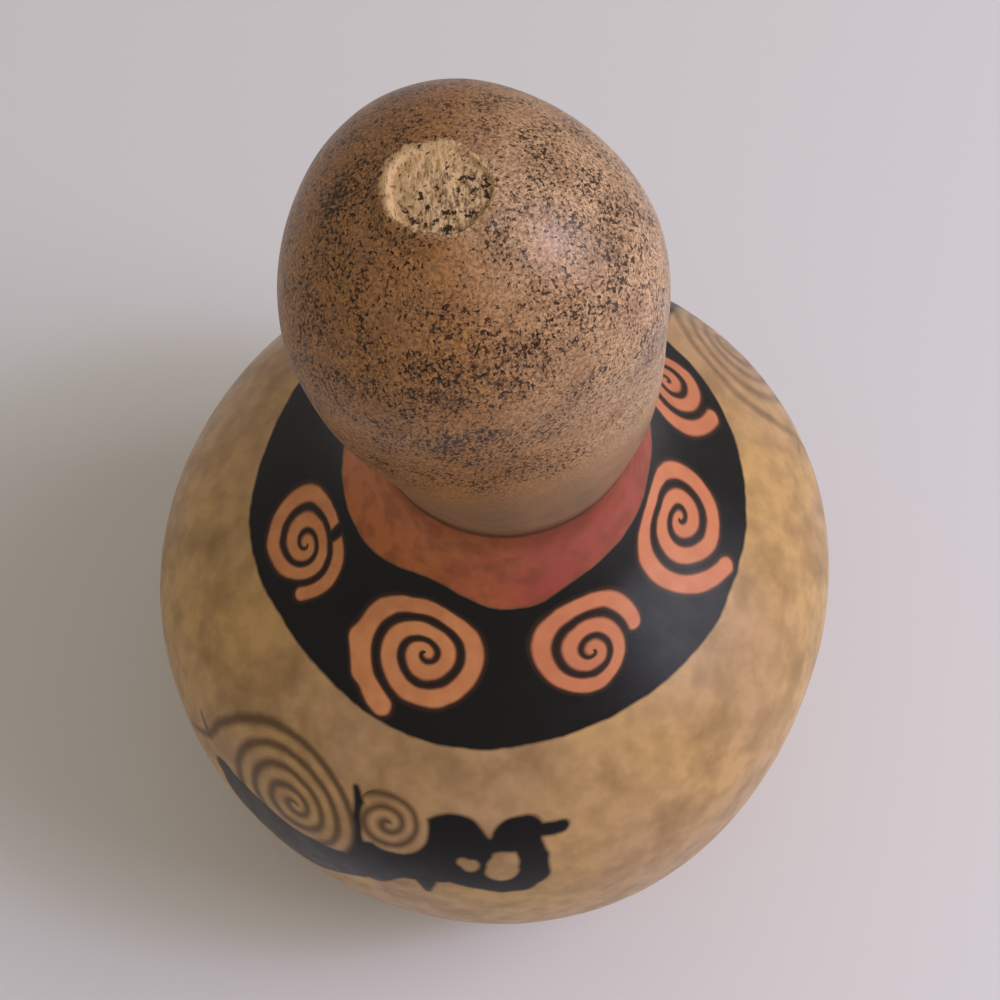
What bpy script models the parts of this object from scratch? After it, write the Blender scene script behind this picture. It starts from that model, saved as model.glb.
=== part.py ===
"""A dried bottle gourd, grown in one piece: a wide round belly, a soft waist and an egg-shaped bulb that
leans a little, with the corky scar of the stem sunk in its crown and a small flat to stand on.

Metres, +Z up. The origin is the centre of the flat under the belly.
"""

import math

import bpy
from mathutils import Matrix, Vector, noise

# Radii across the middle line, from the flat up to the bulb.
FOOT_RADIUS = 0.0175
BELLY_RADIUS = 0.063
WAIST_RADIUS = 0.022
BULB_RADIUS = 0.0289

# Heights up the middle line, before the gourd leans.
BELLY_HEIGHT = 0.056
WAIST_HEIGHT = 0.1207
BULB_HEIGHT = 0.172
CROWN_HEIGHT = 0.204

# How far each curve of the outline keeps its direction as it leaves a widest or narrowest point.
FOOT_REACH = 0.028
BELLY_REACH_DOWN = 0.0348
BELLY_REACH_UP = 0.0357
WAIST_REACH_DOWN = 0.0316
WAIST_REACH_UP = 0.0005
BULB_REACH_DOWN = 0.0227
BULB_REACH_UP = 0.0181
CROWN_REACH = 0.0164

# The neck leans in one arc from above the belly to the crown. Degrees, measured from +X towards +Y.
LEAN_START = 0.095
LEAN_ANGLE = 12.5
LEAN_DIRECTION = 220

# Just above the waist the neck also sways sideways, so the crease under the bulb is sharper on that side.
NECK_SWAY = Vector((0.0022, 0, 0))
SWAY_HEIGHT = 0.1284
SWAY_REACH = 0.030

# Grown unevenness: how many bulges go round, how high they are, and the direction of one of them.
BELLY_BULGES = ((2, 0.0008, 76), (3, 0.0003, 51), (4, 0.0004, 19))
BULB_BULGES = ((2, 0.0007, 15), (3, 0.0011, -10))

# The stem's scar: a sunken corky disc with an uneven edge, and a smooth lip round it, highest on one side.
SCAR_CENTRE = Vector((0.0005, 0))
SCAR_RADIUS = 0.0075
SCAR_DEPTH = 0.0008
SCAR_WALL = 0.0009
SCAR_EDGE_WAVE = 0.0004
CORK_LUMP = 0.0004
CORK_LUMP_SIZE = 0.0022
LIP_HEIGHT = 0.0007
LIP_WIDTH = 0.0016
LIP_DIRECTION = 235

# Rows of points up each stretch of the outline, and points round each row.
BELLY_UNDER_ROWS = 12
BELLY_OVER_ROWS = 14
NECK_ROWS = 10
BULB_ROWS = 10
SCAR_ROWS = 16
SCAR_STRETCH = 0.28
POINTS_ROUND = 64

SKIN_COLOUR = (0.40, 0.25, 0.12, 1.0)
SKIN_ROUGHNESS = 0.35


def clear_scene():
    for obj in list(bpy.data.objects):
        bpy.data.objects.remove(obj)


def on_curve(start, start_handle, end_handle, end, share):
    """The point at this share of the way along a cubic curve."""
    first = start.lerp(start_handle, share)
    middle = start_handle.lerp(end_handle, share)
    last = end_handle.lerp(end, share)
    return first.lerp(middle, share).lerp(middle.lerp(last, share), share)


def outline():
    """Radius and height of each row, from the edge of the flat up to the last row round the crown."""
    foot = Vector((FOOT_RADIUS, 0))
    belly = Vector((BELLY_RADIUS, BELLY_HEIGHT))
    waist = Vector((WAIST_RADIUS, WAIST_HEIGHT))
    bulb = Vector((BULB_RADIUS, BULB_HEIGHT))
    crown = Vector((0, CROWN_HEIGHT))
    out, up = Vector((1, 0)), Vector((0, 1))
    under = (foot, foot + out * FOOT_REACH, belly - up * BELLY_REACH_DOWN, belly)
    over = (belly, belly + up * BELLY_REACH_UP, waist - up * WAIST_REACH_DOWN, waist)
    neck = (waist, waist + up * WAIST_REACH_UP, bulb - up * BULB_REACH_DOWN, bulb)
    dome = (bulb, bulb + up * BULB_REACH_UP, crown + out * CROWN_REACH, crown)
    rows = [on_curve(*under, i / BELLY_UNDER_ROWS) for i in range(BELLY_UNDER_ROWS)]
    rows += [on_curve(*over, i / BELLY_OVER_ROWS) for i in range(BELLY_OVER_ROWS)]
    rows += [on_curve(*neck, i / NECK_ROWS) for i in range(NECK_ROWS)]
    rows += [on_curve(*dome, (1 - SCAR_STRETCH) * i / BULB_ROWS) for i in range(BULB_ROWS)]
    rows += [on_curve(*dome, 1 - SCAR_STRETCH * (1 - i / SCAR_ROWS)) for i in range(SCAR_ROWS)]
    return rows


def smooth_step(value):
    value = min(max(value, 0), 1)
    return value * value * (3 - 2 * value)


def bulge(bulges, angle):
    return sum(height * math.cos(count * (angle - math.radians(turn))) for count, height, turn in bulges)


def grown_radius(radius, height, angle):
    """The row's radius in this direction, with the bulges of the belly and the bulb, which fade at the waist."""
    above_belly = (height - BELLY_HEIGHT) / (WAIST_HEIGHT - BELLY_HEIGHT)
    belly_share = max(1 - above_belly ** 2, 0) * min(1.5 * height / BELLY_HEIGHT, 1) * radius / BELLY_RADIUS
    if height > BULB_HEIGHT:
        above_bulb = (height - BULB_HEIGHT) / (CROWN_HEIGHT - BULB_HEIGHT)
        bulb_share = math.sqrt(max(1 - above_bulb ** 2, 0))
    else:
        below_bulb = (BULB_HEIGHT - height) / (BULB_HEIGHT - WAIST_HEIGHT)
        bulb_share = max(1 - below_bulb ** 2, 0)
    bulb_share *= radius / BULB_RADIUS
    return radius + belly_share * bulge(BELLY_BULGES, angle) + bulb_share * bulge(BULB_BULGES, angle)


def scar_relief(point):
    """How far the skin stands out of the dome near the crown: the lip above it, the corky disc below it."""
    across = point - SCAR_CENTRE
    radius, angle = across.length, math.atan2(across.y, across.x)
    edge = SCAR_RADIUS + SCAR_EDGE_WAVE * (math.cos(2 * angle + 0.6) + 0.6 * math.cos(5 * angle))
    inside = smooth_step((edge - radius) / SCAR_WALL)
    lumps = CORK_LUMP * noise.noise(across.to_3d() / CORK_LUMP_SIZE)
    side = 0.5 + 0.5 * math.cos(angle - math.radians(LIP_DIRECTION))
    lip = LIP_HEIGHT * side * math.exp(-((radius - edge - LIP_WIDTH / 2) / LIP_WIDTH) ** 2)
    return lip + inside * (lumps - SCAR_DEPTH - lip)


def lean(height):
    """The point of the leaning middle line at this height, and the turn of the row there."""
    full = math.radians(LEAN_ANGLE)
    share = min(max((height - LEAN_START) / (CROWN_HEIGHT - LEAN_START), 0), 1)
    arc_radius = (CROWN_HEIGHT - LEAN_START) / full
    towards = Vector((math.cos(math.radians(LEAN_DIRECTION)), math.sin(math.radians(LEAN_DIRECTION)), 0))
    point = towards * arc_radius * (1 - math.cos(full * share))
    point.z = min(height, LEAN_START) + arc_radius * math.sin(full * share)
    point += NECK_SWAY * max(1 - ((height - SWAY_HEIGHT) / SWAY_REACH) ** 2, 0) ** 2
    return point, Matrix.Rotation(full * share, 3, Vector((-towards.y, towards.x, 0)))


def gourd_mesh():
    points, faces = [], []
    rows = outline()
    for radius, height in rows:
        centre, turn = lean(height)
        for i in range(POINTS_ROUND):
            angle = 2 * math.pi * i / POINTS_ROUND
            across = grown_radius(radius, height, angle) * Vector((math.cos(angle), math.sin(angle)))
            rise = scar_relief(across) if height > BULB_HEIGHT else 0
            points.append(centre + turn @ Vector((across.x, across.y, rise)))
    centre, turn = lean(CROWN_HEIGHT)
    points.append(centre + turn @ Vector((0, 0, scar_relief(Vector((0, 0))))))
    faces.append(list(reversed(range(POINTS_ROUND))))
    for row in range(len(rows) - 1):
        for i in range(POINTS_ROUND):
            near = row * POINTS_ROUND + i
            far = row * POINTS_ROUND + (i + 1) % POINTS_ROUND
            faces.append((near, far, far + POINTS_ROUND, near + POINTS_ROUND))
    last = (len(rows) - 1) * POINTS_ROUND
    for i in range(POINTS_ROUND):
        faces.append((last + i, last + (i + 1) % POINTS_ROUND, len(points) - 1))
    mesh = bpy.data.meshes.new("gourd")
    mesh.from_pydata(points, [], faces)
    return mesh


def skin_material():
    material = bpy.data.materials.new("varnished_gourd_skin")
    material.use_nodes = True
    surface = material.node_tree.nodes["Principled BSDF"]
    surface.inputs["Base Color"].default_value = SKIN_COLOUR
    surface.inputs["Roughness"].default_value = SKIN_ROUGHNESS
    surface.inputs["Metallic"].default_value = 0.0
    return material


clear_scene()
gourd = bpy.data.objects.new("gourd", gourd_mesh())
bpy.context.scene.collection.objects.link(gourd)
gourd.data.materials.append(skin_material())
gourd.data.shade_smooth()
gourd.data.set_sharp_from_angle(angle=math.radians(40))
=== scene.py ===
import math

import bpy
from mathutils import Matrix, Vector, noise


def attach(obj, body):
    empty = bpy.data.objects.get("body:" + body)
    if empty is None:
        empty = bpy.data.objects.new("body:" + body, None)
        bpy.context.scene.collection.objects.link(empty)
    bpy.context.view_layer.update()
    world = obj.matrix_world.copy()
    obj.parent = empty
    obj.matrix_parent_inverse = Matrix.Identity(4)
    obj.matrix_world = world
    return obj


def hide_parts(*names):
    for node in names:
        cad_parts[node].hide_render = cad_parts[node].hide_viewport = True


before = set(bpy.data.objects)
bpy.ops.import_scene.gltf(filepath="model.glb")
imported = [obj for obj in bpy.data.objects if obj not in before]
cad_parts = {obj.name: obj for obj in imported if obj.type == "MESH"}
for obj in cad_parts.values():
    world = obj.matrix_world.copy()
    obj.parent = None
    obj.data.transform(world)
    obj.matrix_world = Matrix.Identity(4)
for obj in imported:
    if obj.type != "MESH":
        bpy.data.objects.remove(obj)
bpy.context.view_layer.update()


# The shell: one dried bottle gourd, grown in one piece and never cut. The fruit hardened to a thin woody
# shell with a round belly, a soft waist and an egg-shaped bulb. It stands on a small flat at the blossom
# end, and the stem broke off at the crown, which left a corky scar with a smooth lip round one side.

MM = 0.001

# Radii across the middle line and heights up it, from the flat to the crown, before the gourd leans.
FOOT_RADIUS = 0.0175
BELLY_RADIUS = 0.063
WAIST_RADIUS = 0.022
BULB_RADIUS = 0.0289
BELLY_HEIGHT = 0.056
WAIST_HEIGHT = 0.1207
BULB_HEIGHT = 0.172
CROWN_HEIGHT = 0.204

# How far each curve of the outline keeps its direction as it leaves a widest or narrowest point.
FOOT_REACH = 0.028
BELLY_REACH_DOWN = 0.0348
BELLY_REACH_UP = 0.0357
WAIST_REACH_DOWN = 0.0316
WAIST_REACH_UP = 0.0005
BULB_REACH_DOWN = 0.0227
BULB_REACH_UP = 0.0181
CROWN_REACH = 0.0164

# The neck leans in one arc up to the crown, and sways sideways just above the waist.
LEAN_START = 0.095
LEAN_ANGLE = 12.5
LEAN_DIRECTION = 220
NECK_SWAY = Vector((0.0022, 0, 0))
SWAY_HEIGHT = 0.1284
SWAY_REACH = 0.030

# Grown unevenness: how many bulges go round, how high they are, and the direction of one of them.
BELLY_BULGES = ((2, 0.0008, 76), (3, 0.0003, 51), (4, 0.0004, 19))
BULB_BULGES = ((2, 0.0007, 15), (3, 0.0011, -10))

# Rows of points up each stretch of the outline, and points round each row.
FOOT_ROWS = 8
UNDER_ROWS = 50
OVER_ROWS = 78
NECK_ROWS = 50
BULB_ROWS = 44
SCAR_ROWS = 76
SCAR_STRETCH = 0.30
POINTS_ROUND = 310

# The stem's scar and its lumpy pitted cork, and the lip round one side with a fine groove outside it.
SCAR_CENTRE = Vector((0.0005, 0))
SCAR_RADIUS = 0.0075
SCAR_DEPTH = 0.0008
SCAR_WALL = 0.0009
SCAR_EDGE_WAVE = 0.0004
CORK_LUMP = 0.0004
CORK_LUMP_SIZE = 0.0022
CORK_PIT = 0.00035
CORK_PIT_SIZE = 0.0009
LIP_HEIGHT = 0.0007
LIP_WIDTH = 0.0016
LIP_DIRECTION = 235
LIP_GROOVE = 0.00022
LIP_GROOVE_RADIUS = 0.0105
LIP_GROOVE_WIDTH = 0.00035

# How many mm the cork runs out over the lip, and the direction of the side where it does.
CORK_SPREAD = 0.9
CORK_SPREAD_TO = Vector((-0.77, 0.64))
FAR_FROM_SCAR = -20.0

# Fine waves in the skin, which stop short of the crown, and the shallow blossom scar under the flat.
SKIN_WAVE = 0.00010
SKIN_WAVE_SIZE = 0.009
SMOOTH_CROWN = 0.01
BLOSSOM_RADIUS = 0.0028
BLOSSOM_DEPTH = 0.0006

# Where the paint ends, in mm down the skin from the waist: how far, and waves of it round the neck, each
# with its count, its height in mm and the direction of one crest in degrees.
BAND_EDGE = 17.2
BAND_WAVES = ((1, 0.5, 171), (2, 0.2, 54), (3, 0.4, 40), (4, 0.65, 17),
              (5, 0.3, 67), (6, 0.4, 30), (7, 0.4, 19))
COLLAR_EDGE = 41.4
COLLAR_WAVES = ((1, 1.4, 296), (2, 0.8, 88), (3, 0.5, 120), (5, 0.6, 47), (6, 0.3, 8))


def on_curve(start, start_handle, end_handle, end, share):
    """The point at this share of the way along a cubic curve."""
    first = start.lerp(start_handle, share)
    middle = start_handle.lerp(end_handle, share)
    last = end_handle.lerp(end, share)
    return first.lerp(middle, share).lerp(middle.lerp(last, share), share)


def outline():
    """Radius and height of each row, from the first row round the blossom end to the last round the crown."""
    foot = Vector((FOOT_RADIUS, 0))
    belly = Vector((BELLY_RADIUS, BELLY_HEIGHT))
    waist = Vector((WAIST_RADIUS, WAIST_HEIGHT))
    bulb = Vector((BULB_RADIUS, BULB_HEIGHT))
    crown = Vector((0, CROWN_HEIGHT))
    out, up = Vector((1, 0)), Vector((0, 1))
    under = (foot, foot + out * FOOT_REACH, belly - up * BELLY_REACH_DOWN, belly)
    over = (belly, belly + up * BELLY_REACH_UP, waist - up * WAIST_REACH_DOWN, waist)
    neck = (waist, waist + up * WAIST_REACH_UP, bulb - up * BULB_REACH_DOWN, bulb)
    dome = (bulb, bulb + up * BULB_REACH_UP, crown + out * CROWN_REACH, crown)
    rows = [foot * (i + 1) / (FOOT_ROWS + 1) for i in range(FOOT_ROWS)]
    rows += [on_curve(*under, i / UNDER_ROWS) for i in range(UNDER_ROWS)]
    rows += [on_curve(*over, i / OVER_ROWS) for i in range(OVER_ROWS)]
    rows += [on_curve(*neck, i / NECK_ROWS) for i in range(NECK_ROWS)]
    rows += [on_curve(*dome, (1 - SCAR_STRETCH) * i / BULB_ROWS) for i in range(BULB_ROWS)]
    rows += [on_curve(*dome, 1 - SCAR_STRETCH * (1 - i / SCAR_ROWS)) for i in range(SCAR_ROWS)]
    return rows


def smooth_step(value):
    value = min(max(value, 0), 1)
    return value * value * (3 - 2 * value)


def waves(crests, angle):
    """The height in this direction of waves that go round, each given by count, height and one crest."""
    return sum(height * math.cos(count * (angle - math.radians(turn))) for count, height, turn in crests)


def grown_radius(radius, height, angle):
    """The row's radius in this direction, with bulges that fade at the waist."""
    above_belly = (height - BELLY_HEIGHT) / (WAIST_HEIGHT - BELLY_HEIGHT)
    belly_share = max(1 - above_belly ** 2, 0) * min(1.5 * height / BELLY_HEIGHT, 1) * radius / BELLY_RADIUS
    if height > BULB_HEIGHT:
        above_bulb = (height - BULB_HEIGHT) / (CROWN_HEIGHT - BULB_HEIGHT)
        bulb_share = math.sqrt(max(1 - above_bulb ** 2, 0))
    else:
        below_bulb = (BULB_HEIGHT - height) / (BULB_HEIGHT - WAIST_HEIGHT)
        bulb_share = max(1 - below_bulb ** 2, 0)
    bulb_share *= radius / BULB_RADIUS
    return radius + belly_share * waves(BELLY_BULGES, angle) + bulb_share * waves(BULB_BULGES, angle)


def inside_scar(point):
    """How far this point of the crown lies inside the ragged edge of the stem's scar."""
    across = point - SCAR_CENTRE
    angle = math.atan2(across.y, across.x)
    edge = SCAR_RADIUS + SCAR_EDGE_WAVE * (math.cos(2 * angle + 0.6) + 0.6 * math.cos(5 * angle))
    return edge - across.length


def scar_relief(point):
    """How far the skin stands out of the dome near the crown: the lip and its groove, and the sunken cork."""
    across = point - SCAR_CENTRE
    inward = inside_scar(point)
    inside = smooth_step(inward / SCAR_WALL)
    lumps = CORK_LUMP * noise.noise(across.to_3d() / CORK_LUMP_SIZE)
    pits = CORK_PIT * min(noise.noise(across.to_3d() / CORK_PIT_SIZE + Vector((7, 3, 1))), 0)
    side = 0.5 + 0.5 * math.cos(math.atan2(across.y, across.x) - math.radians(LIP_DIRECTION))
    lip = LIP_HEIGHT * side * math.exp(-((inward + LIP_WIDTH / 2) / LIP_WIDTH) ** 2)
    groove = LIP_GROOVE * side ** 3 * math.exp(-((across.length - LIP_GROOVE_RADIUS) / LIP_GROOVE_WIDTH) ** 2)
    return lip - groove + inside * (lumps + pits - SCAR_DEPTH - lip)


def lean(height):
    """The point of the leaning middle line at this height, and the turn of the row there."""
    full = math.radians(LEAN_ANGLE)
    share = min(max((height - LEAN_START) / (CROWN_HEIGHT - LEAN_START), 0), 1)
    arc_radius = (CROWN_HEIGHT - LEAN_START) / full
    towards = Vector((math.cos(math.radians(LEAN_DIRECTION)), math.sin(math.radians(LEAN_DIRECTION)), 0))
    point = towards * arc_radius * (1 - math.cos(full * share))
    point.z = min(height, LEAN_START) + arc_radius * math.sin(full * share)
    point += NECK_SWAY * max(1 - ((height - SWAY_HEIGHT) / SWAY_REACH) ** 2, 0) ** 2
    return point, Matrix.Rotation(full * share, 3, Vector((-towards.y, towards.x, 0)))


def shell_mesh():
    """The skin as rows of points. Each carries its place for the paint: its direction, mm below the waist, mm
    out from the middle line, and mm past the edges of the band and the collar and inside the scar's."""
    rows = outline()
    lengths = [0.0]
    for before, after in zip(rows, rows[1:]):
        lengths.append(lengths[-1] + (after - before).length)
    waist_row = FOOT_ROWS + UNDER_ROWS + OVER_ROWS
    points, faces = [], []
    around, down, girth, past_band, past_collar, in_scar = [], [], [], [], [], []
    for row, (radius, height) in enumerate(rows):
        centre, turn = lean(height)
        far_down = (lengths[waist_row] - lengths[row]) / MM
        for i in range(POINTS_ROUND):
            angle = 2 * math.pi * i / POINTS_ROUND
            outward = Vector((math.cos(angle), math.sin(angle)))
            across = grown_radius(radius, height, angle) * outward
            rise = 0
            scar = FAR_FROM_SCAR
            if height > BULB_HEIGHT:
                rise = scar_relief(across)
                scar = inside_scar(across) / MM + CORK_SPREAD * max(outward.dot(CORK_SPREAD_TO), 0)
            elif height == 0:
                rise = BLOSSOM_DEPTH * math.exp(-(radius / BLOSSOM_RADIUS) ** 4)
            point = centre + turn @ Vector((across.x, across.y, rise))
            if 0 < height < CROWN_HEIGHT - SMOOTH_CROWN:
                point += turn @ outward.to_3d() * SKIN_WAVE * noise.noise(point / SKIN_WAVE_SIZE)
            points.append(point)
            around.append((outward.x, outward.y, 0))
            down.append(far_down)
            girth.append(radius / MM)
            past_band.append(far_down - BAND_EDGE - waves(BAND_WAVES, angle))
            past_collar.append(far_down - COLLAR_EDGE - waves(COLLAR_WAVES, angle))
            in_scar.append(scar)
    centre, turn = lean(CROWN_HEIGHT)
    points.append(Vector((0, 0, BLOSSOM_DEPTH)))
    points.append(centre + turn @ Vector((0, 0, scar_relief(Vector((0, 0))))))
    blossom_end, crown = len(points) - 2, len(points) - 1
    around += [(0, 0, 0), (0, 0, 0)]
    down += [down[0], down[-1]]
    girth += [0, 0]
    past_band += [past_band[0], past_band[-1]]
    past_collar += [past_collar[0], past_collar[-1]]
    in_scar += [FAR_FROM_SCAR, SCAR_RADIUS / MM]
    for row in range(len(rows) - 1):
        for i in range(POINTS_ROUND):
            near = row * POINTS_ROUND + i
            far = row * POINTS_ROUND + (i + 1) % POINTS_ROUND
            faces.append((near, far, far + POINTS_ROUND, near + POINTS_ROUND))
    last = (len(rows) - 1) * POINTS_ROUND
    for i in range(POINTS_ROUND):
        faces.append(((i + 1) % POINTS_ROUND, i, blossom_end))
        faces.append((last + i, last + (i + 1) % POINTS_ROUND, crown))
    mesh = bpy.data.meshes.new("painted_gourd")
    mesh.from_pydata(points, [], faces)
    fields = (("around", "FLOAT_VECTOR", "vector", [part for place in around for part in place]),
              ("down", "FLOAT", "value", down), ("girth", "FLOAT", "value", girth),
              ("past_band", "FLOAT", "value", past_band), ("past_collar", "FLOAT", "value", past_collar),
              ("in_scar", "FLOAT", "value", in_scar))
    for name, kind, part, values in fields:
        mesh.attributes.new(name, kind, "POINT").data.foreach_set(part, values)
    mesh.shade_smooth()
    return mesh


gourd = bpy.data.objects.new("painted_gourd", shell_mesh())
bpy.context.scene.collection.objects.link(gourd)


# The skin: the gourd's own hard skin, tan and mottled on the belly, browner and thickly flecked on the bulb.
# A dyed band and a black collar were brushed round the neck, spirals were left bare in the collar, a scroll
# figure was drawn on the belly, and the whole was varnished. The cork of the scar stayed dull.

def add(tree, kind, inputs=None, **settings):
    """Adds a node with its settings, and sets or links its inputs. Returns its outputs."""
    node = tree.nodes.new(kind)
    for name, value in settings.items():
        setattr(node, name, value)
    for key, value in (inputs or {}).items():
        if isinstance(value, bpy.types.NodeSocket):
            tree.links.new(value, node.inputs[key])
        else:
            node.inputs[key].default_value = value
    return node.outputs


def linear(hex_colour):
    """A linear colour from an sRGB hex value such as #b98d5a."""
    parts = [int(hex_colour[i:i + 2], 16) / 255 for i in (1, 3, 5)]
    return [part / 12.92 if part <= 0.04045 else ((part + 0.055) / 1.055) ** 2.4 for part in parts] + [1]


def new_group(name, inputs, outputs):
    group = bpy.data.node_groups.new(name, "ShaderNodeTree")
    for socket in inputs:
        group.interface.new_socket(socket, in_out="INPUT", socket_type="NodeSocketFloat")
    for socket in outputs:
        group.interface.new_socket(socket, in_out="OUTPUT", socket_type="NodeSocketFloat")
    return group, add(group, "NodeGroupInput"), group.nodes.new("NodeGroupOutput").inputs


# mm that are as good as out of sight, and the share of a turn at which a spiral's middle stops narrowing.
FAR = 9.0
LEAST_TURN = 0.15


def spiral_group():
    """A hand-drawn spiral line that opens as it goes out, drifts to one side and ends in a round tip.
    Across and Below are mm from its centre. Edge is mm outside the line, less than 0 on it."""
    group, given, made = new_group(
        "hand_drawn_spiral",
        ("Across", "Below", "Hand", "Pitch", "Growth", "Start", "Turns", "Drift", "Drift To", "Half Width"),
        ("Edge",))
    across = add(group, "ShaderNodeMath", {0: given["Across"], 1: given["Hand"]}, operation="MULTIPLY")[0]
    angle = add(group, "ShaderNodeMath", {0: given["Below"], 1: across}, operation="ARCTAN2")[0]
    drift = add(group, "ShaderNodeMath", {0: angle, 1: given["Drift To"]}, operation="SUBTRACT")[0]
    drift = add(group, "ShaderNodeMath", {0: drift}, operation="COSINE")[0]
    drift = add(group, "ShaderNodeMath", {0: drift, 1: given["Drift"], 2: 1}, operation="MULTIPLY_ADD")[0]
    flat = add(group, "ShaderNodeCombineXYZ", {0: across, 1: given["Below"]})[0]
    flat = add(group, "ShaderNodeVectorMath", {0: flat, "Scale": drift}, operation="SCALE")[0]
    radius = add(group, "ShaderNodeVectorMath", {0: flat}, operation="LENGTH")["Value"]
    less = add(group, "ShaderNodeMath", {0: 1, 1: given["Growth"]}, operation="DIVIDE")[0]
    turns_out = add(group, "ShaderNodeMath", {0: radius, 1: given["Pitch"]}, operation="DIVIDE")[0]
    turns_out = add(group, "ShaderNodeMath", {0: turns_out, 1: less}, operation="POWER")[0]
    turn = add(group, "ShaderNodeMath", {
        0: angle, 1: 1 / math.tau, 2: given["Start"]}, operation="MULTIPLY_ADD")[0]
    whole = add(group, "ShaderNodeMath", {0: turns_out, 1: turn}, operation="SUBTRACT")[0]
    nearest = add(group, "ShaderNodeMath", {0: whole}, operation="ROUND")[0]
    along = add(group, "ShaderNodeMath", {0: turn, 1: nearest}, operation="ADD")[0]
    step = add(group, "ShaderNodeMath", {0: along, 1: LEAST_TURN}, operation="MAXIMUM")[0]
    opening = add(group, "ShaderNodeMath", {0: given["Growth"], 1: 1}, operation="SUBTRACT")[0]
    step = add(group, "ShaderNodeMath", {0: step, 1: opening}, operation="POWER")[0]
    step = add(group, "ShaderNodeMath", {0: step, 1: given["Growth"]}, operation="MULTIPLY")[0]
    step = add(group, "ShaderNodeMath", {0: step, 1: given["Pitch"]}, operation="MULTIPLY")[0]
    off = add(group, "ShaderNodeMath", {0: turns_out, 1: along}, operation="SUBTRACT")[0]
    off = add(group, "ShaderNodeMath", {0: off}, operation="ABSOLUTE")[0]
    off = add(group, "ShaderNodeMath", {0: off, 1: step}, operation="MULTIPLY")[0]
    past_tip = add(group, "ShaderNodeMath", {0: along, 1: given["Turns"]}, operation="GREATER_THAN")[0]
    off = add(group, "ShaderNodeMath", {0: past_tip, 1: FAR, 2: off}, operation="MULTIPLY_ADD")[0]
    tip_radius = add(group, "ShaderNodeMath", {0: given["Turns"], 1: given["Growth"]}, operation="POWER")[0]
    tip_radius = add(group, "ShaderNodeMath", {0: tip_radius, 1: given["Pitch"]}, operation="MULTIPLY")[0]
    tip_angle = add(group, "ShaderNodeMath", {0: given["Turns"], 1: given["Start"]}, operation="SUBTRACT")[0]
    tip_angle = add(group, "ShaderNodeMath", {0: tip_angle, 1: math.tau}, operation="MULTIPLY")[0]
    tip_x = add(group, "ShaderNodeMath", {0: tip_angle}, operation="COSINE")[0]
    tip_y = add(group, "ShaderNodeMath", {0: tip_angle}, operation="SINE")[0]
    tip = add(group, "ShaderNodeCombineXYZ", {0: tip_x, 1: tip_y})[0]
    tip = add(group, "ShaderNodeVectorMath", {0: tip, "Scale": tip_radius}, operation="SCALE")[0]
    from_tip = add(group, "ShaderNodeVectorMath", {0: flat, 1: tip}, operation="DISTANCE")["Value"]
    off = add(group, "ShaderNodeMath", {0: off, 1: from_tip}, operation="MINIMUM")[0]
    half = add(group, "ShaderNodeMath", {0: step, 1: given["Half Width"]}, operation="MULTIPLY")[0]
    edge = add(group, "ShaderNodeMath", {0: off, 1: half}, operation="SUBTRACT")[0]
    group.links.new(edge, made["Edge"])
    return group


DAB_SOCKETS = ("Across", "Below", "From X", "From Y", "From Half", "To X", "To Y", "To Half")


def dab_group():
    """One dab of a brush from a start to an end, each with its own half width in mm.
    Edge is mm outside the dab, less than 0 on it."""
    group, given, made = new_group("brush_dab", DAB_SOCKETS, ("Edge",))
    here = add(group, "ShaderNodeCombineXYZ", {0: given["Across"], 1: given["Below"]})[0]
    start = add(group, "ShaderNodeCombineXYZ", {0: given["From X"], 1: given["From Y"]})[0]
    end = add(group, "ShaderNodeCombineXYZ", {0: given["To X"], 1: given["To Y"]})[0]
    here = add(group, "ShaderNodeVectorMath", {0: here, 1: start}, operation="SUBTRACT")[0]
    line = add(group, "ShaderNodeVectorMath", {0: end, 1: start}, operation="SUBTRACT")[0]
    reach = add(group, "ShaderNodeVectorMath", {0: here, 1: line}, operation="DOT_PRODUCT")["Value"]
    whole = add(group, "ShaderNodeVectorMath", {0: line, 1: line}, operation="DOT_PRODUCT")["Value"]
    share = add(group, "ShaderNodeMath", {0: reach, 1: whole}, operation="DIVIDE", use_clamp=True)[0]
    nearest = add(group, "ShaderNodeVectorMath", {0: line, "Scale": share}, operation="SCALE")[0]
    off = add(group, "ShaderNodeVectorMath", {0: here, 1: nearest}, operation="DISTANCE")["Value"]
    grown = add(group, "ShaderNodeMath", {
        0: given["To Half"], 1: given["From Half"]}, operation="SUBTRACT")[0]
    half = add(group, "ShaderNodeMath", {
        0: share, 1: grown, 2: given["From Half"]}, operation="MULTIPLY_ADD")[0]
    edge = add(group, "ShaderNodeMath", {0: off, 1: half}, operation="SUBTRACT")[0]
    group.links.new(edge, made["Edge"])
    return group


# Bare spirals in the collar: direction of the centre in degrees, mm below the waist, which way it winds
# (1 opens clockwise), mm of the first turn, where it starts and how many turns it has, and how far and in
# which direction in degrees it drifts. They go round from COLLAR_START, and the last two, which are behind
# the bulb, follow the ones in view.
COLLAR_SPIRALS = (
    (201.0, 29.5, 1, 2.32, 0.77, 2.88, 0.22, -28),
    (250.2, 29.4, -1, 2.76, 0.71, 2.90, 0.12, -95),
    (297.4, 30.5, 1, 2.53, 0.64, 2.63, 0.14, 47),
    (346.0, 27.0, -1, 2.90, 0.65, 2.86, 0.11, -86),
    (394.5, 31.0, -1, 2.50, 0.60, 2.70, 0.12, -142),
    (443.0, 29.0, 1, 2.45, 0.70, 2.80, 0.14, 20),
    (491.0, 29.6, -1, 2.60, 0.70, 2.85, 0.12, -80),
)
COLLAR_START = 166

# How fast a spiral's turns widen (1 is evenly), how much wider than tall it is, half the ribbon's width as a
# share of a turn, and how many mm the brush wanders.
SPIRAL_GROWTH = 1.3
SPIRAL_STRETCH = 1.1
RIBBON_SHARE = 0.286
BRUSH_WANDER = 1.2

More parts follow.
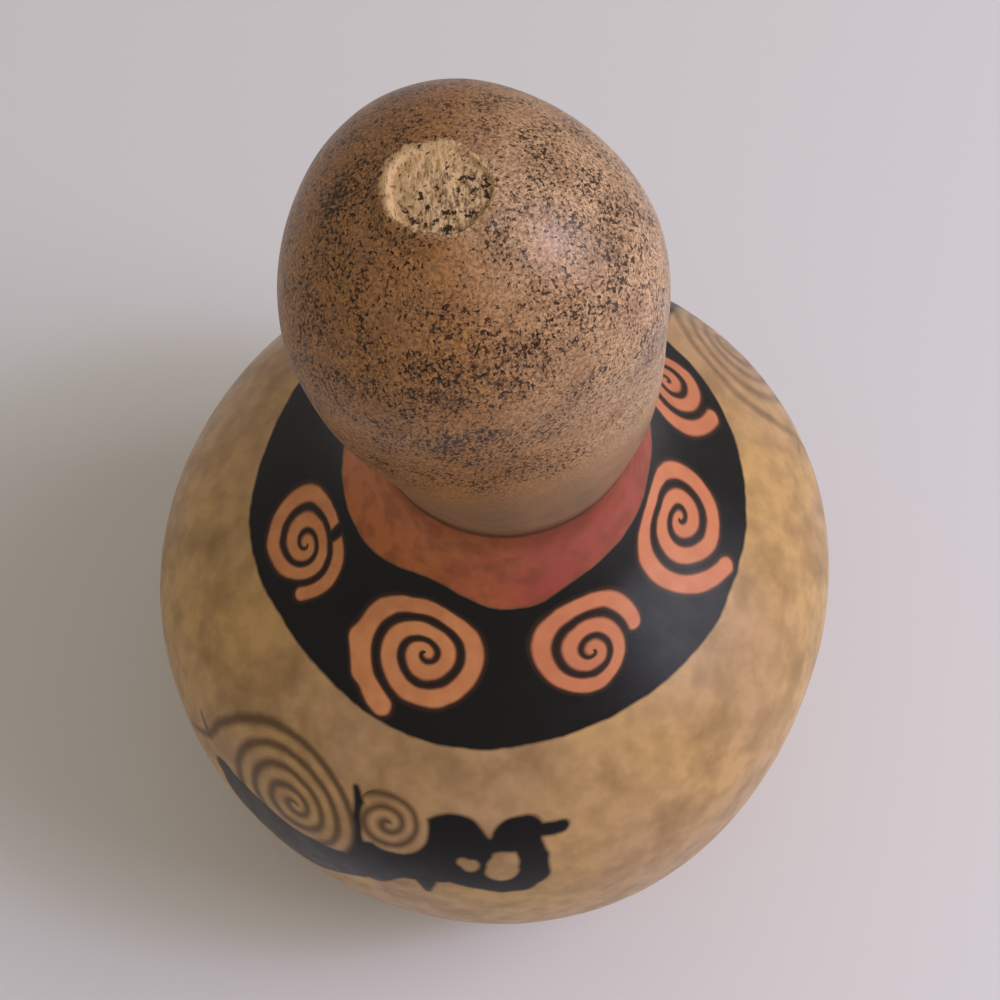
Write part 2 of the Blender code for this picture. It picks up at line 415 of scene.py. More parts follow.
# Broad dabs on the spirals: the spiral's place, mm right of and below its centre with the half width, from
# and to, and 1 where the dab is bare or 0 where black covers the ribbon.
RIBBON_DABS = (
    (250.2, 29.4, -11.4, -0.8, 0.9, -12.2, 3.5, 2.0, 1),
    (250.2, 29.4, -12.2, 3.5, 2.0, -10.2, 8.0, 1.8, 1),
    (250.2, 29.4, -10.2, 8.0, 1.8, -4.4, 11.1, 1.1, 1),
    (201.0, 29.5, 1.6, -9.4, 1.4, 1.8, -5.6, 1.2, 0),
)

# Two scroll figures on the belly: the first one's direction in degrees and mm below the waist of its middle,
# how many degrees further round the second is and how many mm higher, and how many degrees to the left of
# the first its share of the belly begins.
FIGURE_DIRECTION = 250
FIGURE_BELOW = 66
SECOND_TURN = 168
SECOND_HIGHER = 8.8
FIRST_SHARE = 98

# The figure's black dabs, in mm right of and below its middle: start, half width, end, half width. Those of
# the foot lie over the big disc.
BODY_DABS = (
    (13.0, -3.6, 6.1, 10.5, 2.5, 5.8),
    (11.5, 2.5, 5.6, 0.5, 6.5, 4.8),
    (15.6, -2.2, 5.0, 15.8, 0.5, 4.6),
    (9.8, 8.0, 2.2, 10.3, 12.6, 0.7),
    (2.2, 8.0, 4.2, 0.4, 13.2, 2.4),
    (-4.0, 9.5, 4.6, 0.5, 6.5, 4.8),
    (-5.2, -9.0, 0.6, -3.8, -6.0, 1.0),
    (-3.8, -6.0, 1.0, -3.7, 0.0, 1.0),
    (-3.7, 0.0, 1.0, -4.0, 4.0, 2.6),
    (18.8, -2.6, 1.8, 19.3, 4.5, 1.1),
    (19.4, -3.4, 1.6, 23.7, -5.0, 2.6),
    (15.5, 5.0, 2.8, 23.5, 7.6, 2.1),
    (23.5, 7.6, 2.1, 26.6, 6.6, 2.5),
    (26.6, 6.6, 2.5, 28.3, 3.8, 2.9),
    (28.3, 3.8, 2.9, 28.0, -0.5, 2.4),
    (28.0, -0.5, 2.4, 26.4, -4.0, 2.4),
    (23.7, -6.2, 3.9, 24.7, -6.3, 3.8),
    (26.5, -6.9, 1.4, 31.6, -6.9, 1.3),
)
FOOT_DABS = (
    (-33.2, 12.5, 3.2, -26.5, 17.5, 8.0),
    (-26.5, 17.5, 8.0, -17.0, 19.5, 8.6),
    (-17.0, 19.5, 8.6, -5.0, 13.5, 4.6),
)
# Bare places in the black: the two holes in the body and then the big and the small disc, as dabs too.
HOLES = ((15.9, 0.7, 1.1, 17.2, 1.3, 1.6), (22.5, 0.9, 2.5, 22.8, 2.5, 2.9),
         (-17.1, 2.0, 13.3, -17.1, 3.0, 13.3), (2.7, -5.0, 6.1, 2.9, -3.6, 6.1))

# The discs' brown spiral lines: middle, mm of the first turn, growth, where it starts, turns, drift and its
# direction in degrees, and half the line's width as a share of a turn.
LINES = (
    (-16.0, 2.6, 3.10, 1.09, 0.44, 4.31, 0.15, math.radians(-149), 0.22),
    (2.0, -4.4, 3.10, 0.95, 0.30, 2.45, 0.15, math.radians(-150), 0.22),
)
# The brown line that sweeps on from the big disc to the left.
TAIL_DABS = (
    (-27.0, -8.6, 0.8, -31.5, -5.0, 0.8),
    (-31.5, -5.0, 0.8, -35.9, 0.3, 0.8),
    (-35.9, 0.3, 0.8, -38.4, 6.6, 0.8),
    (-38.4, 6.6, 0.8, -41.5, 4.0, 0.4),
    (-38.4, 6.6, 0.8, -45.0, 14.0, 0.5),
)

# Where the bulb's flecks crowd together or are few: a place, how far it reaches, and how much it raises the
# level below which the flecks' noise is dark.
CROWDS = (
    ((0.0166, -0.0126, 0.1927), 0.010, 0.048),
    ((0.0095, -0.0225, 0.1895), 0.009, 0.040),
    ((-0.0242, -0.0056, 0.1955), 0.009, 0.040),
    ((-0.0090, -0.0290, 0.1830), 0.014, 0.040),
    ((-0.0040, -0.0314, 0.1690), 0.011, 0.048),
    ((0.0040, -0.0060, 0.2030), 0.006, 0.048),
    ((-0.0040, -0.0195, 0.1985), 0.009, -0.056),
    ((0.0064, -0.0136, 0.1997), 0.006, -0.048),
    ((0.0154, -0.0230, 0.1600), 0.013, -0.048),
)

# Two layers of flecks, each with its noise's size in mm, its level and how dark it is.
FLECKS = ((0.38, 0.455, 0.55), (0.62, 0.445, 0.92))
FLECK_EDGE = 0.06

# The size of each pattern, from one crest to the next. The flecks and the grain are about as fine as the
# real ones, which are 0.3 to 0.5 mm across.
PATCH_SIZE = 32 * MM
MOTTLE_SIZE = 9 * MM
CLOUD_SIZE = 4 * MM
CROWD_SIZE = 6 * MM
GRAIN_SIZE = 0.6 * MM
TREMBLE_SIZE = 6 * MM
FIBRE_SIZE = 0.5 * MM
CORK_HOLE_SIZE = 1.3 * MM

# The skin of the belly and the bulb, with a painted light for the bulb's right side, and painted shade for
# the neck under the bulb.
BELLY_PINK = linear("#bb9368")
BELLY_OCHRE = linear("#c69c60")
BELLY_MOTTLE = linear("#87673c")
BELLY_CLOUD = linear("#94734c")
BULB_BROWN = linear("#a57445")
BULB_PAINTED_LIGHT = linear("#bf9872")
BULB_MOTTLE = linear("#926a49")
NECK_PAINTED_SHADE = linear("#8f7257")
NECK_PAINTED_SHADE_CLOUD = linear("#7c5f46")
FLECK_BLACK = linear("#24140b")
GRAIN_BROWN = linear("#5c4029")
# The dye of the band, with painted shade for it in the crease, and the painted shadow in the crease itself.
DYE_ORANGE = linear("#b96a36")
DYE_BROWN = linear("#a3602f")
DYE_RED = linear("#9a4737")
DYE_BLOTCH = linear("#7a3f24")
DYE_PAINTED_CREASE_SHADE = linear("#5c3220")
CREASE_PAINTED_SHADOW = linear("#3d2222")
# The bare spirals and the paint of the collar.
STAIN_ORANGE = linear("#d78f58")
STAIN_BROWN = linear("#b56c40")
STAIN_PINK = linear("#bf6a52")
PAINT_THIN = linear("#41281a")
PAINT_BLACK = linear("#14100f")
# The figures' lines and their black.
LINE_BROWN = linear("#573c22")
INK_THIN = linear("#33231a")
INK_BLACK = linear("#110e10")
# The scar's cork.
CORK_BEIGE = linear("#dab482")
CORK_TAN = linear("#c19b70")
FIBRE_BROWN = linear("#6f553c")
CORK_HOLE_BROWN = linear("#3b2a1d")

# Varnished gourd shell: a satin gloss, duller where the varnish is thin, and none on the cork.
GLOSS = 0.25
ROUGHNESS_THICK, ROUGHNESS_THIN, ROUGHNESS_CORK = 0.30, 0.40, 0.85
GRAIN_BUMP = 0.05
BUMP_DEPTH = 0.3 * MM

varnished_skin = bpy.data.materials.new("varnished_painted_gourd_skin")
varnished_skin.use_nodes = True
tree = varnished_skin.node_tree
surface = tree.nodes["Principled BSDF"]

spot = add(tree, "ShaderNodeTexCoord")["Object"]
around = add(tree, "ShaderNodeAttribute", attribute_name="around")["Vector"]
around = add(tree, "ShaderNodeSeparateXYZ", {0: around})
angle = add(tree, "ShaderNodeMath", {0: around[1], 1: around[0]}, operation="ARCTAN2")[0]
down = add(tree, "ShaderNodeAttribute", attribute_name="down")["Fac"]
girth = add(tree, "ShaderNodeAttribute", attribute_name="girth")["Fac"]
past_band = add(tree, "ShaderNodeAttribute", attribute_name="past_band")["Fac"]
past_collar = add(tree, "ShaderNodeAttribute", attribute_name="past_collar")["Fac"]
in_scar = add(tree, "ShaderNodeAttribute", attribute_name="in_scar")["Fac"]

# The belly's own colour: ochre and pinkish tan in wide soft patches, with olive-brown mottling.
wide = add(tree, "ShaderNodeTexNoise", {"Vector": spot, "Scale": 1 / PATCH_SIZE, "Detail": 2})[0]
patch = add(tree, "ShaderNodeMapRange", {0: wide, 1: 0.38, 2: 0.62})[0]
mottle = add(tree, "ShaderNodeTexNoise", {
    "Vector": spot, "Scale": 1 / MOTTLE_SIZE, "Detail": 3, "Roughness": 0.55})[0]
mottled = add(tree, "ShaderNodeMapRange", {0: mottle, 1: 0.47, 2: 0.74, 4: 0.75})[0]
cloud = add(tree, "ShaderNodeTexNoise", {"Vector": spot, "Scale": 1 / CLOUD_SIZE, "Detail": 2})[0]
cloudy = add(tree, "ShaderNodeMapRange", {0: cloud, 1: 0.40, 2: 0.68, 4: 0.45})[0]
skin = add(tree, "ShaderNodeMix", {0: patch, 6: BELLY_PINK, 7: BELLY_OCHRE}, data_type="RGBA")[2]
skin = add(tree, "ShaderNodeMix", {0: mottled, 6: skin, 7: BELLY_MOTTLE}, data_type="RGBA")[2]
skin = add(tree, "ShaderNodeMix", {0: cloudy, 6: skin, 7: BELLY_CLOUD}, data_type="RGBA")[2]

# The bulb's skin is browner. It is painted paler on its right side, a painted light where the window falls,
# and painted grey-brown shade where it turns in under the bulb.
on_bulb = add(tree, "ShaderNodeMapRange", {0: down, 1: -1, 2: -3})[0]
high_on_bulb = add(tree, "ShaderNodeMapRange", {0: down, 1: -12, 2: -34})[0]
# Painted light: the bulb's side towards the window is painted paler.
painted_light_right = add(tree, "ShaderNodeMapRange", {0: around[0], 1: 0.1, 2: 1})[0]
bulb_skin = add(tree, "ShaderNodeMix", {0: painted_light_right, 6: BULB_BROWN, 7: BULB_PAINTED_LIGHT}, data_type="RGBA")[2]
bulb_skin = add(tree, "ShaderNodeMix", {0: mottled, 6: bulb_skin, 7: BULB_MOTTLE}, data_type="RGBA")[2]
# Painted shade: the bulb's underside just above the waist is painted a plain darker grey-brown.
neck_painted_shade = add(tree, "ShaderNodeMix", {0: cloudy, 6: NECK_PAINTED_SHADE, 7: NECK_PAINTED_SHADE_CLOUD}, data_type="RGBA")[2]
bulb_skin = add(tree, "ShaderNodeMix", {0: high_on_bulb, 6: neck_painted_shade, 7: bulb_skin}, data_type="RGBA")[2]
skin = add(tree, "ShaderNodeMix", {0: on_bulb, 6: skin, 7: bulb_skin}, data_type="RGBA")[2]

# Flecks: small ragged brown-black specks of dried skin, a little longer than wide. They are the low parts of
# a noise, so they crowd where its level is raised. A finer brown grain lies between them.
fleck_spot = add(tree, "ShaderNodeVectorMath", {0: spot, 1: (1, 1, 0.75)}, operation="MULTIPLY")[0]
crowd = add(tree, "ShaderNodeTexNoise", {
    "Vector": spot, "Scale": 1 / CROWD_SIZE, "Detail": 2, "Roughness": 0.65})[0]
crowd = add(tree, "ShaderNodeMapRange", {0: crowd, 1: 0.35, 2: 0.65, 3: -0.05, 4: 0.05})[0]
fading = add(tree, "ShaderNodeMapRange", {0: down, 1: -32, 2: -16, 4: -0.3})[0]
crowd = add(tree, "ShaderNodeMath", {0: crowd, 1: fading}, operation="ADD")[0]
for place, reach, more in CROWDS:
    off = add(tree, "ShaderNodeVectorMath", {0: spot, 1: place}, operation="DISTANCE")["Value"]
    near = add(tree, "ShaderNodeMapRange", {
        0: off, 1: reach, 2: 0, 4: more}, interpolation_type="SMOOTHSTEP")[0]
    crowd = add(tree, "ShaderNodeMath", {0: crowd, 1: near}, operation="ADD")[0]
for size, level, dark in FLECKS:
    speck = add(tree, "ShaderNodeTexNoise", {
        "Vector": fleck_spot, "Scale": 1 / (size * MM), "Detail": 2, "Roughness": 0.62})[0]
    speck = add(tree, "ShaderNodeMath", {0: speck, 1: crowd}, operation="SUBTRACT")[0]
    fleck = add(tree, "ShaderNodeMapRange", {0: speck, 1: level, 2: level - FLECK_EDGE, 4: dark})[0]
    skin = add(tree, "ShaderNodeMix", {0: fleck, 6: skin, 7: FLECK_BLACK}, data_type="RGBA")[2]
grain = add(tree, "ShaderNodeTexNoise", {
    "Vector": spot, "Scale": 1 / GRAIN_SIZE, "Detail": 1, "Roughness": 0.6})[0]
grainy = add(tree, "ShaderNodeMapRange", {0: grain, 1: 0.35, 2: 0.65, 3: 0.45, 4: -0.3})[0]
grainy = add(tree, "ShaderNodeMath", {0: grainy, 1: high_on_bulb}, operation="MULTIPLY")[0]
skin = add(tree, "ShaderNodeMix", {
    0: grainy, 6: skin, 7: GRAIN_BROWN}, data_type="RGBA", clamp_factor=False)[2]

# The dyed band: brown-orange on the left, redder in front and on the right, with painted shade darkening it
# up in the crease.
tremble = add(tree, "ShaderNodeTexNoise", {
    "Vector": spot, "Scale": 1 / TREMBLE_SIZE, "Detail": 2, "Roughness": 0.55})[0]
tremble = add(tree, "ShaderNodeMath", {0: tremble, 1: 0.5}, operation="SUBTRACT")[0]
band_edge = add(tree, "ShaderNodeMath", {
    0: tremble, 1: BRUSH_WANDER, 2: past_band}, operation="MULTIPLY_ADD")[0]
collar_edge = add(tree, "ShaderNodeMath", {
    0: tremble, 1: BRUSH_WANDER, 2: past_collar}, operation="MULTIPLY_ADD")[0]
dye = add(tree, "ShaderNodeMix", {0: mottled, 6: DYE_ORANGE, 7: DYE_BROWN}, data_type="RGBA")[2]
red_share = add(tree, "ShaderNodeMapRange", {0: around[0], 1: -0.5, 2: 0.7})[0]
red_share = add(tree, "ShaderNodeMath", {0: mottle, 1: red_share}, operation="ADD")[0]
red_share = add(tree, "ShaderNodeMapRange", {0: red_share, 1: 0.55, 2: 1.2})[0]
dye = add(tree, "ShaderNodeMix", {0: red_share, 6: dye, 7: DYE_RED}, data_type="RGBA")[2]
blotch = add(tree, "ShaderNodeMapRange", {0: cloud, 1: 0.44, 2: 0.62, 4: 0.5})[0]
dye = add(tree, "ShaderNodeMix", {0: blotch, 6: dye, 7: DYE_BLOTCH}, data_type="RGBA")[2]
# Painted shade: the dye darkens towards the waist, where the crease lies in shade.
painted_crease_shade = add(tree, "ShaderNodeMapRange", {0: down, 1: 7, 2: 0, 4: 0.45})[0]
dye = add(tree, "ShaderNodeMix", {0: painted_crease_shade, 6: dye, 7: DYE_PAINTED_CREASE_SHADE}, data_type="RGBA")[2]
below_waist = add(tree, "ShaderNodeMapRange", {0: down, 1: -1.0, 2: 0.4})[0]
band = add(tree, "ShaderNodeMapRange", {0: band_edge, 1: 0.4, 2: -0.2})[0]
band = add(tree, "ShaderNodeMath", {0: band, 1: below_waist}, operation="MULTIPLY")[0]
skin = add(tree, "ShaderNodeMix", {0: band, 6: skin, 7: dye}, data_type="RGBA")[2]
# Painted shadow: the bulb's underside darkens towards the waist into a dark line of painted shade in the
# crease.
under_bulb = add(tree, "ShaderNodeMapRange", {
    0: down, 1: -5, 2: -0.2, 4: 0.8}, interpolation_type="SMOOTHSTEP")[0]
past_crease = add(tree, "ShaderNodeMapRange", {0: down, 1: 1.2, 2: 0.3})[0]
painted_crease_shadow = add(tree, "ShaderNodeMath", {0: under_bulb, 1: past_crease}, operation="MULTIPLY")[0]
skin = add(tree, "ShaderNodeMix", {0: painted_crease_shadow, 6: skin, 7: CREASE_PAINTED_SHADOW}, data_type="RGBA")[2]

# The black collar, with spirals of stained skin left bare in it. The paint is thin and brown at its edges.
spiral = spiral_group()
dab = dab_group()
round_collar = add(tree, "ShaderNodeMath", {
    0: angle, 1: math.radians(COLLAR_START + 360), 2: math.radians(COLLAR_START)}, operation="WRAP")[0]
before, nearest = None, None
for direction, below, hand, pitch, start, turns, drift, drift_to in COLLAR_SPIRALS:
    this = ((math.radians(direction), below, hand), (pitch, start, turns), (drift, math.radians(drift_to), 0))
    if before:
        past = add(tree, "ShaderNodeMath", {
            0: round_collar, 1: math.radians((before + direction) / 2)}, operation="GREATER_THAN")[0]
        nearest = [add(tree, "ShaderNodeMix", {0: past, 4: old, 5: new}, data_type="VECTOR")[1]
                   for old, new in zip(nearest, this)]
    before, nearest = direction, nearest if before else this
place, shape, lean_to = (add(tree, "ShaderNodeSeparateXYZ", {0: vector}) for vector in nearest)
across = add(tree, "ShaderNodeMath", {0: round_collar, 1: place[0]}, operation="SUBTRACT")[0]
across = add(tree, "ShaderNodeMath", {0: across, 1: girth}, operation="MULTIPLY")[0]
across = add(tree, "ShaderNodeMath", {0: across, 1: SPIRAL_STRETCH}, operation="DIVIDE")[0]
below = add(tree, "ShaderNodeMath", {0: down, 1: place[1]}, operation="SUBTRACT")[0]
below = add(tree, "ShaderNodeMath", {0: tremble, 1: BRUSH_WANDER, 2: below}, operation="MULTIPLY_ADD")[0]
ribbon = add(tree, "ShaderNodeGroup", {
    "Across": across, "Below": below, "Hand": place[2], "Pitch": shape[0], "Growth": SPIRAL_GROWTH,
    "Start": shape[1], "Turns": shape[2], "Drift": lean_to[0], "Drift To": lean_to[1],
    "Half Width": RIBBON_SHARE},
    node_tree=spiral)["Edge"]
for direction, below, *from_to, bare in RIBBON_DABS:
    across = add(tree, "ShaderNodeMath", {
        0: round_collar, 1: math.radians(direction)}, operation="SUBTRACT")[0]
    across = add(tree, "ShaderNodeMath", {0: across, 1: girth}, operation="MULTIPLY")[0]
    below = add(tree, "ShaderNodeMath", {0: down, 1: below}, operation="SUBTRACT")[0]
    brush = dict(zip(DAB_SOCKETS, (across, below, *from_to)))
    edge = add(tree, "ShaderNodeGroup", brush, node_tree=dab)["Edge"]
    if bare:
        ribbon = add(tree, "ShaderNodeMath", {0: ribbon, 1: edge, 2: 0.4}, operation="SMOOTH_MIN")[0]
    else:
        cover = add(tree, "ShaderNodeMath", {0: edge, 1: -1}, operation="MULTIPLY")[0]
        ribbon = add(tree, "ShaderNodeMath", {0: ribbon, 1: cover}, operation="MAXIMUM")[0]
stain = add(tree, "ShaderNodeMix", {0: cloudy, 6: STAIN_ORANGE, 7: STAIN_BROWN}, data_type="RGBA")[2]
pink = add(tree, "ShaderNodeMapRange", {0: red_share, 2: 1, 4: 0.5})[0]
stain = add(tree, "ShaderNodeMix", {0: pink, 6: stain, 7: STAIN_PINK}, data_type="RGBA")[2]
thin = add(tree, "ShaderNodeMapRange", {0: ribbon, 1: 0.2, 2: 1.0})[0]
black = add(tree, "ShaderNodeMix", {0: thin, 6: PAINT_THIN, 7: PAINT_BLACK}, data_type="RGBA")[2]
on_ribbon = add(tree, "ShaderNodeMapRange", {0: ribbon, 1: 0.3, 2: -0.2})[0]
collar_colour = add(tree, "ShaderNodeMix", {0: on_ribbon, 6: black, 7: stain}, data_type="RGBA")[2]
below_band = add(tree, "ShaderNodeMapRange", {0: band_edge, 1: -0.3, 2: 0.3})[0]
above_edge = add(tree, "ShaderNodeMapRange", {0: collar_edge, 1: 0.35, 2: -0.25})[0]
collar = add(tree, "ShaderNodeMath", {0: below_band, 1: above_edge}, operation="MULTIPLY")[0]
skin = add(tree, "ShaderNodeMix", {0: collar, 6: skin, 7: collar_colour}, data_type="RGBA")[2]

# The scroll figures: a black body with a beaked head, and two tan discs with brown spiral lines on it.
turn = add(tree, "ShaderNodeMath", {0: angle, 1: math.radians(FIGURE_DIRECTION)}, operation="SUBTRACT")[0]
turn = add(tree, "ShaderNodeMath", {
    0: turn, 1: math.radians(360 - FIRST_SHARE), 2: math.radians(-FIRST_SHARE)}, operation="WRAP")[0]
second = add(tree, "ShaderNodeMath", {0: turn, 1: math.radians(SECOND_TURN / 2)}, operation="GREATER_THAN")[0]
right = add(tree, "ShaderNodeMath", {
    0: second, 1: math.radians(-SECOND_TURN), 2: turn}, operation="MULTIPLY_ADD")[0]
right = add(tree, "ShaderNodeMath", {0: right, 1: girth}, operation="MULTIPLY")[0]
under = add(tree, "ShaderNodeMath", {0: second, 1: SECOND_HIGHER, 2: down}, operation="MULTIPLY_ADD")[0]
under = add(tree, "ShaderNodeMath", {0: under, 1: FIGURE_BELOW}, operation="SUBTRACT")[0]
under = add(tree, "ShaderNodeMath", {0: tremble, 1: BRUSH_WANDER, 2: under}, operation="MULTIPLY_ADD")[0]
body = FAR
for from_to in BODY_DABS:
    brush = dict(zip(DAB_SOCKETS, (right, under, *from_to)))
    edge = add(tree, "ShaderNodeGroup", brush, node_tree=dab)["Edge"]
    body = add(tree, "ShaderNodeMath", {0: body, 1: edge, 2: 0.8}, operation="SMOOTH_MIN")[0]
for from_to in HOLES:
    brush = dict(zip(DAB_SOCKETS, (right, under, *from_to)))
    hole = add(tree, "ShaderNodeGroup", brush, node_tree=dab)["Edge"]
    kept = add(tree, "ShaderNodeMath", {0: hole, 1: -1}, operation="MULTIPLY")[0]
    body = add(tree, "ShaderNodeMath", {0: body, 1: kept}, operation="MAXIMUM")[0]
for from_to in FOOT_DABS:
    brush = dict(zip(DAB_SOCKETS, (right, under, *from_to)))
    edge = add(tree, "ShaderNodeGroup", brush, node_tree=dab)["Edge"]
    body = add(tree, "ShaderNodeMath", {0: body, 1: edge, 2: 0.8}, operation="SMOOTH_MIN")[0]

# The lines on the discs. The last bare place was the small disc, so near it the lines are the small one's.
on_small = add(tree, "ShaderNodeMath", {0: hole, 1: 1.0}, operation="LESS_THAN")[0]
big_lines, small_lines = LINES
middle, shape, lean_to = (
    add(tree, "ShaderNodeSeparateXYZ", {0: add(tree, "ShaderNodeMix", {
        0: on_small, 4: big_lines[i:i + 3], 5: small_lines[i:i + 3]}, data_type="VECTOR")[1]})
    for i in (0, 3, 6))
across = add(tree, "ShaderNodeMath", {0: right, 1: middle[0]}, operation="SUBTRACT")[0]
below = add(tree, "ShaderNodeMath", {0: under, 1: middle[1]}, operation="SUBTRACT")[0]
edge = add(tree, "ShaderNodeGroup", {
    "Across": across, "Below": below, "Hand": -1, "Pitch": middle[2], "Growth": shape[0], "Start": shape[1],
    "Turns": shape[2], "Drift": lean_to[0], "Drift To": lean_to[1], "Half Width": lean_to[2]},
    node_tree=spiral)["Edge"]
for from_to in TAIL_DABS:
    brush = dict(zip(DAB_SOCKETS, (right, under, *from_to)))
    tail = add(tree, "ShaderNodeGroup", brush, node_tree=dab)["Edge"]
    edge = add(tree, "ShaderNodeMath", {0: edge, 1: tail, 2: 0.4}, operation="SMOOTH_MIN")[0]
strength = add(tree, "ShaderNodeMapRange", {0: second, 3: 0.85, 4: 0.5})[0]
on_line = add(tree, "ShaderNodeMapRange", {0: edge, 1: 0.6, 2: -0.5, 4: strength})[0]
skin = add(tree, "ShaderNodeMix", {0: on_line, 6: skin, 7: LINE_BROWN}, data_type="RGBA")[2]

# The figure's black over all of it, thinner and browner at its edges.
deep = add(tree, "ShaderNodeMapRange", {0: body, 1: 0.2, 2: -0.8})[0]
ink = add(tree, "ShaderNodeMix", {0: deep, 6: INK_THIN, 7: INK_BLACK}, data_type="RGBA")[2]
on_body = add(tree, "ShaderNodeMapRange", {0: body, 1: 0.45, 2: -0.35})[0]
skin = add(tree, "ShaderNodeMix", {0: on_body, 6: skin, 7: ink}, data_type="RGBA")[2]

# The scar's cork: yellow-beige where it is smooth, with dark pits and a fibrous grain on the right. The cleft
# where it has shrunk away from the lip is left to the sunken shape, and is not painted.
cork_spot = add(tree, "ShaderNodeVectorMath", {0: spot, 1: (1, 0.4, 1)}, operation="MULTIPLY")[0]
fibre = add(tree, "ShaderNodeTexNoise", {
    "Vector": cork_spot, "Scale": 1 / FIBRE_SIZE, "Detail": 2, "Roughness": 0.7})[0]
pit = add(tree, "ShaderNodeTexNoise", {
    "Vector": spot, "Scale": 1 / CORK_HOLE_SIZE, "Detail": 2, "Roughness": 0.7})[0]
cork = add(tree, "ShaderNodeMix", {0: cloudy, 6: CORK_BEIGE, 7: CORK_TAN}, data_type="RGBA")[2]
lower_right = add(tree, "ShaderNodeVectorMath", {
    0: spot, 1: (0.7, -0.7, 0)}, operation="DOT_PRODUCT")["Value"]
worn = add(tree, "ShaderNodeMapRange", {0: lower_right, 1: -5 * MM, 2: 3 * MM, 4: 0.09})[0]
worn_fibre = add(tree, "ShaderNodeMath", {0: fibre, 1: worn}, operation="SUBTRACT")[0]
fibrous = add(tree, "ShaderNodeMapRange", {0: worn_fibre, 1: 0.46, 2: 0.32, 4: 0.8})[0]
cork = add(tree, "ShaderNodeMix", {0: fibrous, 6: cork, 7: FIBRE_BROWN}, data_type="RGBA")[2]
worn_pit = add(tree, "ShaderNodeMath", {0: pit, 1: worn}, operation="SUBTRACT")[0]
pitted = add(tree, "ShaderNodeMapRange", {0: worn_pit, 1: 0.38, 2: 0.31})[0]
cork = add(tree, "ShaderNodeMix", {0: pitted, 6: cork, 7: CORK_HOLE_BROWN}, data_type="RGBA")[2]
scar_edge = add(tree, "ShaderNodeMath", {0: pit, 1: 3.0, 2: in_scar}, operation="MULTIPLY_ADD")[0]
on_scar = add(tree, "ShaderNodeMapRange", {0: scar_edge, 1: 1.1, 2: 1.7})[0]
skin = add(tree, "ShaderNodeMix", {0: on_scar, 6: skin, 7: cork}, data_type="RGBA")[2]

# The varnish and the bumps: pores of the grain all over, and the fibres of the cork.
surface.inputs["Specular IOR Level"].default_value = GLOSS
tree.links.new(skin, surface.inputs["Base Color"])
varnished = add(tree, "ShaderNodeMapRange", {
    0: cloud, 1: 0.3, 2: 0.7, 3: ROUGHNESS_THICK, 4: ROUGHNESS_THIN})[0]
rough = add(tree, "ShaderNodeMix", {0: on_scar, 2: varnished, 3: ROUGHNESS_CORK}, data_type="FLOAT")[0]
tree.links.new(rough, surface.inputs["Roughness"])
bumps = add(tree, "ShaderNodeMath", {0: grain, 1: GRAIN_BUMP}, operation="MULTIPLY")[0]
corky = add(tree, "ShaderNodeMapRange", {0: in_scar, 1: -0.2, 2: 0.4})[0]
bumps = add(tree, "ShaderNodeMath", {0: fibre, 1: corky, 2: bumps}, operation="MULTIPLY_ADD")[0]
bump = add(tree, "ShaderNodeBump", {"Height": bumps, "Distance": BUMP_DEPTH, "Strength": 0.8})[0]
tree.links.new(bump, surface.inputs["Normal"])
gourd.data.materials.append(varnished_skin)

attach(gourd, "root")
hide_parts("gourd")


# The stage: a plain pale sheet of matt card to stand on, with soft daylight from a wide window on the right
# and a small lamp close to it, which puts the bright spot on the bulb. The room lights the rest evenly.

FLOOR_SIZE = 4.0
FLOOR_CORNERS = [(-1, -1), (1, -1), (1, 1), (-1, 1)]
CARD_WHITE = linear("#e2dfda")
CARD_ROUGHNESS = 0.9
ROOM_COLOUR = linear("#fdf6ee")
ROOM_LIGHT = 0.42
LIGHTS_AIM = Vector((0, 0, 0.1))

floor_mesh = bpy.data.meshes.new("floor")
floor_points = [(x * FLOOR_SIZE / 2, y * FLOOR_SIZE / 2, 0) for x, y in FLOOR_CORNERS]
floor_mesh.from_pydata(floor_points, [], [(0, 1, 2, 3)])
floor = bpy.data.objects.new("floor", floor_mesh)
bpy.context.scene.collection.objects.link(floor)
card = bpy.data.materials.new("matt_white_card")
card.use_nodes = True
card_surface = card.node_tree.nodes["Principled BSDF"]
card_surface.inputs["Base Color"].default_value = CARD_WHITE
card_surface.inputs["Roughness"].default_value = CARD_ROUGHNESS
floor.data.materials.append(card)

world = bpy.data.worlds.new("soft_room_light")
world.use_nodes = True
world.node_tree.nodes["Background"].inputs["Color"].default_value = ROOM_COLOUR
world.node_tree.nodes["Background"].inputs["Strength"].default_value = ROOM_LIGHT
bpy.context.scene.world = world
bpy.context.scene.view_settings.view_transform = "Standard"


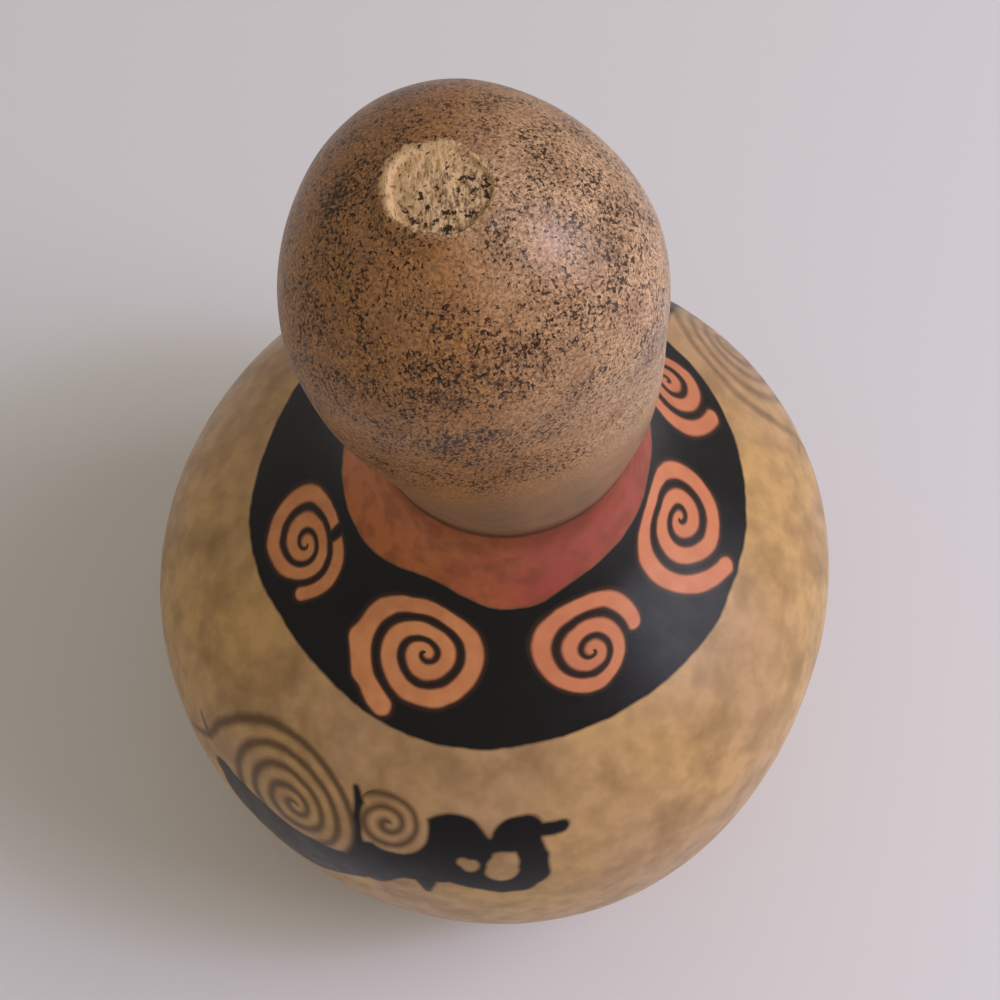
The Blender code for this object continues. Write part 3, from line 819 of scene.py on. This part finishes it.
def window(name, azimuth, elevation, distance, width, height, watts, colour):
    """A wide soft light that faces the gourd from this direction."""
    lamp = bpy.data.lights.new(name, "AREA")
    lamp.shape = "RECTANGLE"
    lamp.size, lamp.size_y = width, height
    lamp.energy = watts
    lamp.color = linear(colour)[:3]
    holder = bpy.data.objects.new(name, lamp)
    flat = math.cos(math.radians(elevation))
    holder.location = Vector((flat * math.cos(math.radians(azimuth)), flat * math.sin(math.radians(azimuth)),
                              math.sin(math.radians(elevation)))) * distance + Vector((0, 0, BELLY_HEIGHT))
    to_gourd = LIGHTS_AIM - holder.location
    holder.rotation_euler = to_gourd.to_track_quat("-Z", "Y").to_euler()
    bpy.context.scene.collection.objects.link(holder)


window("window_right", azimuth=-8, elevation=36, distance=1.1, width=0.7, height=0.9, watts=8.2,
       colour="#f2f3ff")
window("lamp_upper_right", azimuth=-14, elevation=45, distance=1.1, width=0.15, height=0.18, watts=2.3,
       colour="#c0baff")


# The camera: it looks down steeply on the crown from arm's length, a little turned in the hand, so the bulb
# hides the waist and most of the collar's far side.

CAMERA_TARGET = Vector((0.000544, 0, 0.087766))
CAMERA_ELEVATION = math.radians(63.79)
CAMERA_DISTANCE = 0.52
CAMERA_ROLL = math.radians(0.478)
CAMERA_LENS = 105.3
CAMERA_SENSOR = 36
NEAREST_SEEN = 0.01

photo_camera = bpy.data.cameras.new("camera")
photo_camera.lens = CAMERA_LENS
photo_camera.sensor_width = CAMERA_SENSOR
photo_camera.clip_start = NEAREST_SEEN
camera = bpy.data.objects.new("camera", photo_camera)
right = Vector((1, 0, 0))
up = Vector((0, math.sin(CAMERA_ELEVATION), math.cos(CAMERA_ELEVATION)))
back = right.cross(up)
camera_x = right * math.cos(CAMERA_ROLL) + up * math.sin(CAMERA_ROLL)
camera_y = up * math.cos(CAMERA_ROLL) - right * math.sin(CAMERA_ROLL)
camera.matrix_world = (Matrix.Translation(CAMERA_TARGET + back * CAMERA_DISTANCE)
                       @ Matrix((camera_x, camera_y, back)).transposed().to_4x4())
bpy.context.scene.collection.objects.link(camera)
bpy.context.scene.camera = camera
